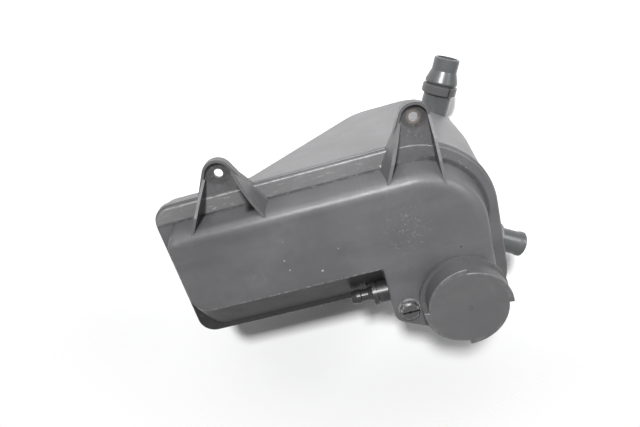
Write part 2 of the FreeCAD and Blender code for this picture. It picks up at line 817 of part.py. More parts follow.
def outlet_lock_ring():
    """Split collar that snaps round the outlet nipple."""
    inner = S.outlet_base - S.seal_slack * 2 + S.nipple_slack
    low = S.outlet_ring_at + S.nipple_slack
    high = S.outlet_ring_at + S.outlet_ring_wide - S.nipple_slack
    split_up = FreeCAD.Rotation(FreeCAD.Vector(0, 0, 1), S.ring_split_clock.value)
    return turned("outlet_lock_ring", [
        (inner, low),
        (S.outlet_ring - S.ring_lead, low),
        (S.outlet_ring, low + S.ring_lead),
        (S.outlet_ring, high - S.ring_lead),
        (S.outlet_ring - S.ring_lead, high),
        (inner, high),
    ], *outlet_spot(), turn_about_z(S.outlet_turn.value) * split_up, 360 - S.ring_split)


def side_nipple():
    """Plain hose nipple with an end bead, on the right wall."""
    return turned("side_nipple", [
        (S.side_bore, -S.nipple_root),
        (S.side_tube, -S.nipple_root),
        (S.side_tube, S.side_long - S.side_bead_wide * 2),
        (S.side_bead, S.side_long - S.side_bead_wide),
        (S.side_bead, S.side_long - S.nipple_lead),
        (S.side_bead - S.nipple_lead, S.side_long),
        (S.side_bore, S.side_long),
    ], *side_spot(), turn_about_z(S.side_turn.value))


def vent_nipple():
    """Small stepped nipple that points along the sloping wall of the cover."""
    ring_end = S.vent_body_long + S.vent_ring_wide
    cone_end = ring_end + S.vent_cone_long
    return turned("vent_nipple", [
        (S.vent_bore, -S.nipple_root + S.wall * 0.5),
        (S.vent_neck, -S.nipple_root + S.wall * 0.5),
        (S.vent_neck, S.nipple_slack),
        (S.vent_body, S.nipple_slack),
        (S.vent_body, S.vent_body_long - S.vent_step),
        (S.vent_body - S.vent_step, S.vent_body_long - S.vent_step),
        (S.vent_body - S.vent_step, S.vent_body_long),
        (S.vent_ring, S.vent_body_long),
        (S.vent_ring, ring_end),
        (S.vent_neck + S.vent_step, ring_end),
        (S.vent_neck, cone_end),
        (S.vent_neck, S.vent_long - S.vent_barb_back - S.nipple_lead),
        (S.vent_tip, S.vent_long - S.vent_barb_back),
        (S.vent_tip, S.vent_long - S.vent_barb_back + S.vent_barb_land),
        (S.vent_neck, S.vent_long),
        (S.vent_bore, S.vent_long),
    ], S.lobe_left, S.vent_y, S.vent_z, turn_about_z(180))


# Bleed screw

def bleed_screw():
    """Plastic bleed screw with a driver slot and a small eye in its head."""
    body = turned("bleed_screw", [
        (0, -S.bleed_long),
        (S.bleed_shank - S.bleed_lead, -S.bleed_long),
        (S.bleed_shank, -S.bleed_long + S.bleed_lead),
        (S.bleed_shank, 0),
        (S.bleed_head, 0),
        (S.bleed_head, S.bleed_head_high - S.bleed_lead),
        (S.bleed_head - S.bleed_lead, S.bleed_head_high),
        (0, S.bleed_head_high),
    ], S.bleed_x, S.bleed_y, S.face_height + S.bleed_ring_high + S.bleed_slack)
    slot = body_sketch(body, "bleed_slot_outline", "XY_Plane")
    reach = S.bleed_head + S.bleed_lead
    half = S.bleed_slot / 2
    draw_polygon(slot, [(-reach, -half), (reach, -half), (reach, half), (-reach, half)])
    sink(body, "bleed_slot", slot, S.bleed_head_high, S.bleed_slot_deep)
    eye = body_sketch(body, "bleed_eye_outline", "XY_Plane")
    draw_circle(eye, S.bleed_eye)
    sink(body, "bleed_eye", eye, S.bleed_head_high, S.bleed_slot_deep * 1.5)
    return body


def draw_circle(sketch, radius):
    """Circle about the sketch origin."""
    sketch.addGeometry(Part.Circle(FreeCAD.Vector(), FreeCAD.Vector(0, 0, 1), radius.value), False)
    sketch.addConstraint(Sketcher.Constraint("Coincident", 0, 3, -1, 1))
    bind(sketch, Sketcher.Constraint("Radius", 0, radius.value), radius)


def sink(body, label, sketch, level, depth):
    """Pocket a sketch down from a level of the body."""
    sketch.setExpression("AttachmentOffset.Base.z", as_size(level).text)
    pocket = body.newObject("PartDesign::Pocket", label)
    pocket.Profile = sketch
    pocket.setExpression("Length", as_size(depth).text)
    body.Tip = pocket
    return pocket


def bleed_seal():
    """O-ring under the bleed screw's head."""
    floor = S.face_height + S.bleed_ring_high - 2 * S.bleed_seal_wire - S.bleed_slack
    return ring_seal("bleed_seal", S.bleed_shank + S.bleed_seal_wire + S.nipple_slack,
                     S.bleed_seal_wire, S.bleed_x, S.bleed_y, floor + S.bleed_seal_wire + S.nipple_slack)


# Cap and the valve unit that hangs in the neck

CAP_FOOT = S.face_height + S.cap_lift_gap
NECK_TOP = S.face_height + S.neck_high
CORE_SEAT = NECK_TOP + S.core_gap
CAP_INSIDE = S.neck_outer + S.thread_tall / 2 + S.cap_slack
CORE_FLANGE = CAP_INSIDE - S.core_gap
CORE_BODY = S.neck_bore - S.core_slack
GROOVE_FLOOR = S.neck_bore - S.seal_slack - 2 * S.seal_wire - S.nipple_slack
CORE_BORE = GROOVE_FLOOR - S.core_wall
SEAT = -S.core_long + S.core_floor


def cap_grip():
    """Screw cap: round rim, four ratchet-shaped grip lobes, hollow with a hook for the valve unit."""
    body = DOC.addObject("PartDesign::Body", "cap_grip")
    rim = body_sketch(body, "cap_rim_outline", "XY_Plane")
    draw_circle(rim, S.cap_rim)
    rim_pad = body.newObject("PartDesign::Pad", "cap_rim_pad")
    rim_pad.Profile = rim
    rim_pad.setExpression("Length", S.cap_rim_thick.text)
    lobe = body_sketch(body, "cap_lobe_outline", "XY_Plane")
    draw_lobe(lobe)
    lobe_pad = body.newObject("PartDesign::Pad", "cap_lobe_pad")
    lobe_pad.Profile = lobe
    lobe_pad.setExpression("Length", S.cap_high.text)
    lobes = body.newObject("PartDesign::PolarPattern", "cap_lobes")
    lobes.Originals = [lobe_pad]
    lobes.Axis = (lobe, ["N_Axis"])
    lobes.Angle = 360
    lobes.Occurrences = 4
    body.Tip = lobes
    hollow = body_sketch(body, "cap_hollow_profile", "XZ_Plane")
    ceiling = S.cap_high - S.cap_top_thick
    hook_low = NECK_TOP - CAP_FOOT + S.core_gap
    hook_high = hook_low + S.core_collar_thick - S.core_gap
    draw_polygon(hollow, [
        (0, -1),
        (CAP_INSIDE, -1),
        (CAP_INSIDE, hook_low),
        (CAP_INSIDE - S.core_hook, hook_low + S.core_gap),
        (CAP_INSIDE - S.core_hook, hook_high),
        (CAP_INSIDE, hook_high),
        (CAP_INSIDE, ceiling),
        (0, ceiling),
    ])
    groove = body.newObject("PartDesign::Groove", "cap_hollow")
    groove.Profile = hollow
    groove.ReferenceAxis = (hollow, ["V_Axis"])
    groove.Angle = 360
    body.Tip = groove
    mark = body_sketch(body, "cap_gate_outline", "XY_Plane")
    draw_circle(mark, S.gate_mark)
    sink(body, "cap_gate", mark, S.cap_high, S.gate_deep)
    soften_cap(body)
    clock = FreeCAD.Rotation(FreeCAD.Vector(0, 0, 1), S.cap_clock.value)
    put(body, S.neck_x, S.neck_y, CAP_FOOT, clock)
    return body


def soften_cap(body):
    """Round the top edge of the grip."""
    DOC.recompute()
    base = body.Tip
    names = []
    for number, edge in enumerate(base.Shape.Edges, start=1):
        middle = edge.valueAt((edge.FirstParameter + edge.LastParameter) / 2)
        on_top = edge.BoundBox.ZMin > S.cap_high.value - 0.01
        if on_top and math.hypot(middle.x, middle.y) > CAP_INSIDE.value:
            names.append(f"Edge{number}")
    edge_round = body.newObject("PartDesign::Fillet", "cap_edge")
    edge_round.Base = (base, names)
    edge_round.setExpression("Radius", S.cap_edge_round.text)
    body.Tip = edge_round


def draw_lobe(sketch):
    """Quarter of the grip: the radius shrinks from high to low, and the next quarter steps out again."""
    grow = S.cap_lobe_high - S.cap_lobe_low
    low, high = S.cap_lobe_low.value, S.cap_lobe_high.value
    half = grow / 2
    centre = FreeCAD.Vector(half.value, -half.value, 0)
    start, end = FreeCAD.Vector(high, 0, 0), FreeCAD.Vector(0, low, 0)
    radius = (start - centre).Length
    circle = Part.Circle(centre, FreeCAD.Vector(0, 0, 1), radius)
    arc = Part.ArcOfCircle(circle, circle.parameter(start), circle.parameter(end))
    sketch.addGeometry(Part.LineSegment(FreeCAD.Vector(), start), False)
    sketch.addGeometry(arc, False)
    sketch.addGeometry(Part.LineSegment(end, FreeCAD.Vector()), False)
    sketch.addConstraint([
        Sketcher.Constraint("Coincident", 0, 1, -1, 1),
        Sketcher.Constraint("PointOnObject", 0, 2, -1),
        Sketcher.Constraint("Coincident", 0, 2, 1, 1),
        Sketcher.Constraint("Coincident", 1, 2, 2, 1),
        Sketcher.Constraint("Coincident", 2, 2, -1, 1),
        Sketcher.Constraint("PointOnObject", 1, 2, -2),
    ])
    bind(sketch, Sketcher.Constraint("DistanceX", -1, 1, 0, 2, high), S.cap_lobe_high)
    pin_point(sketch, 1, 3, half, -half)


def valve_body():
    """Cup that hangs in the filler neck, with two seal grooves and a valve port in its floor."""
    half = S.seal_wire + S.seal_slack / 2
    top = S.core_collar_thick + S.core_flange_thick
    grooves = []
    for drop in (S.seal_lower_drop, S.seal_upper_drop):
        grooves += [
            (CORE_BODY, -drop - half),
            (GROOVE_FLOOR, -drop - half),
            (GROOVE_FLOOR, -drop + half),
            (CORE_BODY, -drop + half),
        ]
    return turned("valve_body", [
        (S.valve_port, -S.core_long),
        (CORE_BODY - S.core_lead, -S.core_long),
        (CORE_BODY, -S.core_long + S.core_lead),
    ] + grooves + [
        (CORE_BODY, 0),
        (S.core_collar, 0),
        (S.core_collar, S.core_collar_thick),
        (CORE_FLANGE, S.core_collar_thick),
        (CORE_FLANGE, top),
        (CORE_BORE, top),
        (CORE_BORE, SEAT),
        (S.valve_port, SEAT),
    ], S.neck_x, S.neck_y, CORE_SEAT)


def neck_seal(label, drop):
    """O-ring in one of the valve body's grooves."""
    return ring_seal(label, S.neck_bore - S.seal_slack - S.seal_wire, S.seal_wire,
                     S.neck_x, S.neck_y, CORE_SEAT - drop)


def valve_lid():
    """Perforated lid that holds the pressure spring down."""
    top = S.core_collar_thick + S.core_flange_thick
    return turned("valve_lid", [
        (S.lid_port, top - S.lid_thick),
        (CORE_BORE - S.nipple_slack, top - S.lid_thick),
        (CORE_BORE - S.nipple_slack, top),
        (S.lid_port, top),
    ], S.neck_x, S.neck_y, CORE_SEAT)


PLATE_LOW = CORE_SEAT + SEAT + S.valve_seal_thick
PLATE_TOP = PLATE_LOW + S.valve_plate_thick
LID_LOW = CORE_SEAT + S.core_collar_thick + S.core_flange_thick - S.lid_thick
CLIP_LOW = PLATE_LOW + S.poppet_stem_long - S.clip_thick


def valve_plate():
    """Pressure valve plate with a hole for the vacuum valve's stem."""
    return turned("valve_plate", [
        (S.poppet_stem + S.core_gap, 0),
        (S.valve_plate_r, 0),
        (S.valve_plate_r, S.valve_plate_thick),
        (S.poppet_stem + S.core_gap, S.valve_plate_thick),
    ], S.neck_x, S.neck_y, PLATE_LOW)


def valve_seal():
    """Rubber face ring under the pressure valve plate."""
    return turned("valve_seal", [
        (S.poppet_r + S.core_gap * 2, S.nipple_slack),
        (S.valve_plate_r - S.core_gap, S.nipple_slack),
        (S.valve_plate_r - S.core_gap, S.valve_seal_thick),
        (S.poppet_r + S.core_gap * 2, S.valve_seal_thick),
    ], S.neck_x, S.neck_y, CORE_SEAT + SEAT)


def vacuum_poppet():
    """Vacuum valve: disc under the plate on a thin stem."""
    return turned("vacuum_poppet", [
        (0, -S.poppet_thick),
        (S.poppet_r, -S.poppet_thick),
        (S.poppet_r, -S.nipple_slack),
        (S.poppet_stem, -S.nipple_slack),
        (S.poppet_stem, S.poppet_stem_long),
        (0, S.poppet_stem_long),
    ], S.neck_x, S.neck_y, PLATE_LOW)


def vacuum_clip():
    """Washer that holds the vacuum spring on the stem."""
    return turned("vacuum_clip", [
        (S.poppet_stem, 0),
        (S.clip_r, 0),
        (S.clip_r, S.clip_thick),
        (S.poppet_stem, S.clip_thick),
    ], S.neck_x, S.neck_y, CLIP_LOW)


def valve_springs():
    """The stiff pressure spring and the light vacuum spring."""
    pressure = coil_spring("pressure_spring", S.pressure_coil_r, S.pressure_wire, S.pressure_turns,
                           LID_LOW - PLATE_TOP, S.neck_x, S.neck_y, PLATE_TOP)
    vacuum = coil_spring("vacuum_spring", S.vacuum_coil_r, S.vacuum_wire, S.vacuum_turns,
                         CLIP_LOW - PLATE_TOP, S.neck_x, S.neck_y, PLATE_TOP)
    return [pressure, vacuum]


# Level float

FLOAT_FOOT = -S.tank_depth + S.wall + S.float_rest + S.nipple_slack
FLOAT_BORE = S.well_outer + S.float_slack


def level_well():
    """Dry well welded into the floor; a level switch is pushed into it from below."""
    foot = S.well_outer + S.stop_wide
    return turned("level_well", [
        (S.well_bore, 0),
        (S.well_outer, 0),
        (S.well_outer, S.wall + S.nipple_slack),
        (foot, S.wall + S.nipple_slack),
        (foot, S.wall + S.float_rest),
        (S.well_outer, S.wall + S.float_rest),
        (S.well_outer, S.well_high),
        (0, S.well_high),
        (0, S.well_high - S.wall),
        (S.well_bore, S.well_high - S.wall),
    ], S.well_x, S.well_y, -S.tank_depth)


def level_float():
    """Ring float that slides on the dry well."""
    notch = FLOAT_BORE + S.magnet_wide
    return turned("level_float", [
        (notch, 0),
        (S.float_outer - S.float_lead, 0),
        (S.float_outer, S.float_lead),
        (S.float_outer, S.float_high - S.float_lead),
        (S.float_outer - S.float_lead, S.float_high),
        (FLOAT_BORE, S.float_high),
        (FLOAT_BORE, S.magnet_high),
        (notch, S.magnet_high),
    ], S.well_x, S.well_y, FLOAT_FOOT)


def float_magnet():
    """Ring magnet in the float's foot, which trips the level switch in the well."""
    outer = FLOAT_BORE + S.magnet_wide - S.nipple_slack
    top = S.magnet_high - S.nipple_slack
    return turned("float_magnet", [(FLOAT_BORE, 0), (outer, 0), (outer, top), (FLOAT_BORE, top)],
                  S.well_x, S.well_y, FLOAT_FOOT)


def float_stop():
    """Snap ring near the top of the well that keeps the float on it."""
    outer = S.well_outer + S.stop_wide
    return turned("float_stop", [
        (S.well_outer, 0),
        (outer, 0),
        (outer, S.stop_thick),
        (S.well_outer, S.stop_thick),
    ], S.well_x, S.well_y, -S.tank_depth + S.well_high - S.stop_drop - S.stop_thick)


NODES = [
    upper_shell(),
    lower_shell(),
    outlet_nipple(),
    outlet_lock_ring(),
    side_nipple(),
    vent_nipple(),
    bleed_screw(),
    bleed_seal(),
    cap_grip(),
    valve_body(),
    neck_seal("upper_seal_ring", S.seal_upper_drop),
    neck_seal("lower_seal_ring", S.seal_lower_drop),
    valve_lid(),
    valve_plate(),
    valve_seal(),
    vacuum_poppet(),
    vacuum_clip(),
    level_well(),
    level_float(),
    float_magnet(),
    float_stop(),
] + valve_springs()

DOC.recompute()
for item in DOC.Objects:
    if "Invalid" in item.State or "Error" in item.State:
        raise RuntimeError(f"{item.Label} did not recompute: {item.State}")
os.makedirs("parts", exist_ok=True)
for node in NODES:
    if not node.Shape.isValid() or len(node.Shape.Solids) != 1:
        raise RuntimeError(f"{node.Label} is not one valid solid")
    node.Shape.exportStep(f"parts/{node.Label}.step")
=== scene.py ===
import json
import math

import bmesh
import bpy
from mathutils import Matrix, Vector


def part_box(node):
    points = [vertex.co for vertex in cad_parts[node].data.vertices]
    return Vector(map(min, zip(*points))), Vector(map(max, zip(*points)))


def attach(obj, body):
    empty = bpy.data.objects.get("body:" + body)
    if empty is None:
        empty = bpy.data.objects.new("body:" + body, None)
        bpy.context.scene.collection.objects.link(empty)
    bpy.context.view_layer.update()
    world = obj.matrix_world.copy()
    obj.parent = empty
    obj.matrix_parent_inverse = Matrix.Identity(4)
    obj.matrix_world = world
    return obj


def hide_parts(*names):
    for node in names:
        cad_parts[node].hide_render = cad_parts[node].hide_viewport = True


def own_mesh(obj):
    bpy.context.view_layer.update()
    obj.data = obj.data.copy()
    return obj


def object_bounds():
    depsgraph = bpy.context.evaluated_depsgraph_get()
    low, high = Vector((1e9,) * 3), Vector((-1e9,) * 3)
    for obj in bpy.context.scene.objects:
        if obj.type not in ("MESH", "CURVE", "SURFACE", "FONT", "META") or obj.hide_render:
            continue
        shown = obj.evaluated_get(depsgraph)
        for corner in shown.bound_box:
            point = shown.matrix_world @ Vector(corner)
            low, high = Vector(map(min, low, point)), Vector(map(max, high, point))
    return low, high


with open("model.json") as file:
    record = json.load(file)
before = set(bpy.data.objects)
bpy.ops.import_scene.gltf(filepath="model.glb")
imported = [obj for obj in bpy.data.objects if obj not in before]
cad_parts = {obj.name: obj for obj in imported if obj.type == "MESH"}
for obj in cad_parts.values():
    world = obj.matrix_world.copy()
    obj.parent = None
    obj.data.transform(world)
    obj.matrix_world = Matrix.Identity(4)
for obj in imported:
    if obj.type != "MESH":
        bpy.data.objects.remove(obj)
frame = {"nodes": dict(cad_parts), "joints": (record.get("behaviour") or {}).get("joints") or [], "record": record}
cad_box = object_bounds()
scene = bpy.context.scene
joints = {joint["name"]: joint for joint in frame["joints"]}
MM = 0.001


def axis_of(joint):
    """Place in plan of a hinge's axis, in millimetres."""
    x, y = joints[joint]["pos_m"][:2]
    return (x / MM, y / MM)


# Places on the tank that the details, worn marks, dirt and painted light and shade follow, in millimetres in the
# part's frame
NECK = axis_of("cap_turn")
BLEED = axis_of("bleed_turn")
EAR_LEFT = (-72.0, -1.5)
EAR_RIGHT = (72.0, 1.5)
HANDLED = (48.0, -72.0)
PIT = (83.9, -94.4)
FOOT_BEND = (61.4, -78.8)
FLOOR_GAP = 0.6
FLOOR_LEVEL = cad_box[0][2] / MM - FLOOR_GAP

# Stretches of the cover, in millimetres: where a mask is still 0, and where it is 1
LOW_Z = (9.0, 5.0)
FACE_Z = (24.5, 26.2)
BELOW_FACE_Z = (26.8, 26.2)
STRAIGHT_X = (58.0, 50.0)
LEFT_OF_LOBE_X = (24.5, 23.5)
CAP_SIDE_Y = (-96.5, -98.5)
BEND_X = (66.0, 80.0)
BEND_Y = (-95.0, -80.0)

# Bands on the cover, in millimetres: where a mask leaves 0, reaches 1, leaves 1 and reaches 0
LEDGE_Y = (-31.0, -27.0, -19.0, -16.5)
LEDGE_CORNER_Y = (-31.5, -29.8, -28.8, -27.8)
LIP_Y = (-18.3, -17.7, -16.6, -16.0)
LIP_Z = (3.6, 4.2, 4.7, 5.0)
FOOT_Z = (4.4, 4.6, 5.3, 6.2)
CAP_SIDE_EDGE_Y = (-98.7, -98.1, -97.1, -96.5)
LEFT_EDGE_X = (-122.0, -121.5, -120.3, -119.8)

# Painted shade, with some dirt, in the pockets beside the ears' webs: from, to, radii where it is full and gone,
# how high it reaches
POCKETS = [
    ((58.0, -8.0), (45.0, -32.0), 0.8, 1.6, 11.0),
    ((-58.0, -17.0), (-54.5, -33.0), 1.8, 6.5, 18.0),
]
# Dried splashes on the cover's face: place and radius
SPLASHES = [
    ((-42.3, -71.1), 0.7),
    ((-40.6, -79.8), 0.7),
    ((-1.8, -71.7), 0.5),
    ((-38.8, -55.8), 0.4),
    ((-17.6, -86.7), 1.1),
]

COVER_SPECULAR = 0.3
DULL_WALL_SPECULAR = 0.1


# Node helpers

class Nodes:
    """Short calls for building one material's node tree, with places in millimetres."""

    def __init__(self, name):
        self.material = bpy.data.materials.new(name)
        self.material.use_nodes = True
        self.tree = self.material.node_tree
        self.shader = self.tree.nodes["Principled BSDF"]
        self.place = self.add("TexCoord").outputs["Object"]
        self.normal = self.add("NewGeometry").outputs["Normal"]
        scaled = self.add("VectorMath")
        scaled.operation = "SCALE"
        scaled.inputs["Scale"].default_value = 1 / MM
        self.link(self.place, scaled.inputs[0])
        self.x, self.y, self.z = self.split(scaled.outputs[0])

    def add(self, kind):
        return self.tree.nodes.new("ShaderNode" + kind)

    def link(self, source, target):
        self.tree.links.new(source, target)

    def feed(self, socket, value):
        """Link a socket, or set a plain value."""
        if isinstance(value, bpy.types.NodeSocket):
            self.link(value, socket)
        else:
            socket.default_value = value

    def surface(self, socket, value):
        """Feed one of the surface shader's sockets."""
        self.feed(self.shader.inputs[socket], value)

    def split(self, vector):
        node = self.add("SeparateXYZ")
        self.link(vector, node.inputs[0])
        return node.outputs

    def math(self, operation, first, second=0.0, clamp=False):
        node = self.add("Math")
        node.operation = operation
        node.use_clamp = clamp
        self.feed(node.inputs[0], first)
        self.feed(node.inputs[1], second)
        return node.outputs[0]

    def times(self, product, *factors):
        """Product of masks and plain shares."""
        for factor in factors:
            product = self.math("MULTIPLY", product, factor)
        return product

    def mix(self, share, first, second):
        node = self.add("Mix")
        node.data_type = "RGBA"
        self.feed(node.inputs["Factor"], share)
        self.feed(node.inputs[6], first)
        self.feed(node.inputs[7], second)
        return node.outputs[2]

    def stain(self, colour, level, *masks):
        """The colour, with a grey of that level where all the masks meet: for stains and dirt, and for painted
        shade and highlights.
        """
        return self.mix(self.times(*masks), colour, grey(level))

    def mapped(self, scale, turn=(0, 0, 0)):
        node = self.add("Mapping")
        node.inputs["Scale"].default_value = scale
        node.inputs["Rotation"].default_value = turn
        self.link(self.place, node.inputs["Vector"])
        return node.outputs["Vector"]

    def noise(self, scale, detail=3.0, rough=0.55, vector=None):
        node = self.add("TexNoise")
        node.inputs["Scale"].default_value = scale
        node.inputs["Detail"].default_value = detail
        node.inputs["Roughness"].default_value = rough
        self.link(vector or self.place, node.inputs["Vector"])
        return node.outputs["Fac"]

    def ramp(self, value, start, full):
        """0 at start, 1 at full, smooth between. The start may be the higher one."""
        node = self.add("MapRange")
        node.interpolation_type = "SMOOTHSTEP"
        node.inputs["From Min"].default_value = start
        node.inputs["From Max"].default_value = full
        self.link(value, node.inputs["Value"])
        return node.outputs["Result"]

    def between(self, value, start, full, last, end):
        """0 up to start, 1 from full to last, 0 again from end."""
        return self.times(self.ramp(value, start, full), self.ramp(value, end, last))

    def specks(self, scale, size, share):
        """Small round specks in a share of the cells."""
        node = self.add("TexVoronoi")
        node.inputs["Scale"].default_value = scale
        self.link(self.place, node.inputs["Vector"])
        near = self.ramp(node.outputs["Distance"], size, size * 0.5)
        pick = self.ramp(self.split(node.outputs["Color"])["X"], 1 - share, 1 - share + 0.01)
        return self.times(near, pick)

    def scratches(self, along, across, turn, cover):
        """Fine lines: a stretched noise cut to a thin band, broken up by a wider one."""
        lines = self.noise(1.0, 2.0, 0.5, self.mapped((along, across, across), turn))
        band = self.math("ABSOLUTE", self.math("SUBTRACT", lines, 0.5))
        thin = self.ramp(band, 0.012, 0.002)
        where = self.ramp(self.noise(22.0, 2.0), 1 - cover, 1 - cover + 0.06)
        return self.times(thin, where)

    def within(self, x, y, inner, outer):
        """1 where the offsets x, y are shorter than inner, 0 beyond outer."""
        squares = self.math("ADD", self.times(x, x), self.times(y, y))
        return self.ramp(self.math("SQRT", squares), outer, inner)

    def offset(self, spot):
        """How far a point lies from an upright axis at spot, along x and along y."""
        return self.math("SUBTRACT", self.x, spot[0]), self.math("SUBTRACT", self.y, spot[1])

    def round_about(self, spot, inner, outer):
        """1 within inner of an upright axis at spot, 0 beyond outer."""
        x, y = self.offset(spot)
        return self.within(x, y, inner, outer)

    def ring_about(self, spot, inner, outer, soft=0.4):
        """1 between two radii round an upright axis at spot."""
        return self.math("SUBTRACT", self.round_about(spot, outer, outer + soft),
                         self.round_about(spot, inner - soft, inner))

    def along_line(self, start, end, inner, outer):
        """1 within inner of a straight line in plan, 0 beyond outer."""
        run = Vector(end) - Vector(start)
        step = run / run.length_squared
        x, y = self.offset(start)
        share = self.math("ADD", self.times(x, step.x), self.times(y, step.y), clamp=True)
        off_x = self.math("SUBTRACT", x, self.times(share, run.x))
        off_y = self.math("SUBTRACT", y, self.times(share, run.y))
        return self.within(off_x, off_y, inner, outer)

    def bump(self, layers):
        """Stack of height layers: value, distance in metres."""
        normal = None
        for height, distance in layers:
            node = self.add("Bump")
            node.inputs["Distance"].default_value = distance
            self.link(height, node.inputs["Height"])
            if normal:
                self.link(normal, node.inputs["Normal"])
            normal = node.outputs["Normal"]
        self.surface("Normal", normal)


def grey(level, warm=0.0, pink=0.0):
    """Near-neutral colour with a little red against blue, or both against green."""
    return (level * (1 + warm + pink), level, level * (1 - warm + pink), 1.0)


# Materials

def plastic(name, dark, light, rough, dust=0.1, grain=1.0, scuffs=0.06, warm=-0.012, pink=0.03,
            specular=0.5, wear_and_painted_light=None):
    """Moulded plastic: cloudy tone, fine grain, dust on what faces up, specks and scratches, then any given worn
    marks and painted light and shade.
    """
    n = Nodes(name)
    n.surface("Specular IOR Level", specular)
    cloud = n.ramp(n.noise(14.0, 4.0, 0.6), 0.3, 0.7)
    flow = n.ramp(n.noise(1.0, 3.0, 0.6, n.mapped((9.0, 45.0, 30.0), (0, 0, 0.3))), 0.35, 0.7)
    tone = n.math("ADD", n.times(cloud, 0.6), n.times(flow, 0.4))
    colour = n.mix(tone, grey(dark, warm, pink), grey(light, warm, pink))
    up = n.ramp(n.split(n.normal)["Z"], 0.2, 0.95)
    film = n.ramp(n.noise(38.0, 5.0, 0.7), 0.42, 0.8)
    dusty = n.times(up, film, dust)
    colour = n.mix(dusty, colour, grey(0.36, 0.03))
    scuff = n.math("MAXIMUM", n.scratches(900.0, 22.0, (0, 0, 0.5), 0.42),
                   n.scratches(700.0, 18.0, (0.4, 0.2, -0.9), 0.4))
    colour = n.stain(colour, 0.42, scuff, scuffs)
    speck = n.specks(45.0, 0.028, 0.06)
    colour = n.mix(n.times(speck, 0.75), colour, grey(0.62, 0.02))
    # Extra marks for this plastic: worn marks and dirt, and painted shade and highlights
    if wear_and_painted_light:
        colour = wear_and_painted_light(n, colour)
    n.surface("Base Color", colour)
    finish = n.math("ADD", n.times(n.noise(35.0, 4.0, 0.6), 0.22), rough - 0.11)
    n.surface("Roughness", n.math("ADD", finish, n.times(dusty, 0.4), clamp=True))
    n.bump([
        (n.noise(30.0, 2.0), 0.0006),
        (n.noise(2600.0, 2.0, 0.6), 0.00008 * grain),
        (n.math("ADD", speck, n.times(scuff, -0.4 * scuffs)), 0.0001),
    ])
    return n.material


def ledge_wear_and_painted_light(n, colour, fine, low):
    """Dust and smears on the ledge; dirt with painted crease shade in its corner and at the body's foot; a painted
    highlight along the lip at the flange's edge.
    """
    straight = n.ramp(n.x, *STRAIGHT_X)
    ledge = n.times(n.between(n.y, *LEDGE_Y), low, straight)
    smear = n.ramp(n.noise(1.0, 5.0, 0.7, n.mapped((90.0, 420.0, 420.0))), 0.56, 0.7)
    colour = n.stain(colour, 0.4, ledge, 0.12)
    colour = n.stain(colour, 0.4, ledge, smear, 0.4)
    # Dirt with painted crease shade in the ledge's inner corner and at the foot of the wall
    corner = n.times(n.between(n.y, *LEDGE_CORNER_Y), low, straight)
    colour = n.stain(colour, 0.012, corner, n.ramp(fine, 0.3, 0.55), 0.45)
    steep = n.ramp(n.split(n.normal)["Z"], 0.85, 0.7)
    foot = n.times(n.between(n.z, *FOOT_Z), steep)
    colour = n.stain(colour, 0.012, foot, n.ramp(fine, 0.35, 0.6), 0.45)
    # Painted highlight along the lip at the flange's edge
    lip = n.times(straight, n.between(n.y, *LIP_Y), n.between(n.z, *LIP_Z))
    return n.stain(colour, 0.42, lip, n.ramp(fine, 0.3, 0.6), 0.3)


def wall_and_pocket_shade(n, colour, fine):
    """Painted shade with a duller reflection on the wall below the cap-side edge, and painted shade with some dirt
    in the pockets beside the ears' webs.
    """
    # Painted shade: the cap-side wall darkened, and its reflection dulled, where it faces away from the light
    wall = n.times(n.ramp(n.y, *CAP_SIDE_Y), n.ramp(n.z, *BELOW_FACE_Z), n.ramp(n.x, *LEFT_OF_LOBE_X))
    patchy = n.math("ADD", n.times(fine, 0.3), 0.6)
    colour = n.stain(colour, 0.012, wall, patchy)
    loss = n.times(wall, COVER_SPECULAR - DULL_WALL_SPECULAR)
    n.surface("Specular IOR Level", n.math("SUBTRACT", COVER_SPECULAR, loss))
    # Painted shade, with some dirt, in the pockets beside the webs
    for start, end, inner, outer, high in POCKETS:
        pocket = n.times(n.along_line(start, end, inner, outer), n.ramp(n.z, high, high - 5.0))
        colour = n.stain(colour, 0.006, pocket, n.ramp(fine, 0.0, 0.45))
    return colour


def bend_wear(n, colour, fine, low):
    """Dirt and grit in the gutter round the right-hand bend, and chips along the flange."""
    bend = n.times(n.ramp(n.x, *BEND_X), n.ramp(n.y, *BEND_Y), low)
    gutter = n.ring_about(FOOT_BEND, 49.8, 51.4, 1.4)
    colour = n.stain(colour, 0.014, gutter, bend, n.ramp(fine, 0.1, 0.5), 0.6)
    grit = n.times(n.ring_about(FOOT_BEND, 50.5, 54.0, 0.6), n.specks(520.0, 0.2, 0.5))
    colour = n.stain(colour, 0.5, grit, bend, n.ramp(n.noise(70.0, 3.0), 0.4, 0.55), 0.5)
    chips = n.times(n.specks(190.0, 0.24, 0.1), n.ramp(n.noise(60.0, 3.0), 0.48, 0.6))
    return n.stain(colour, 0.6, chips, low, 0.6)


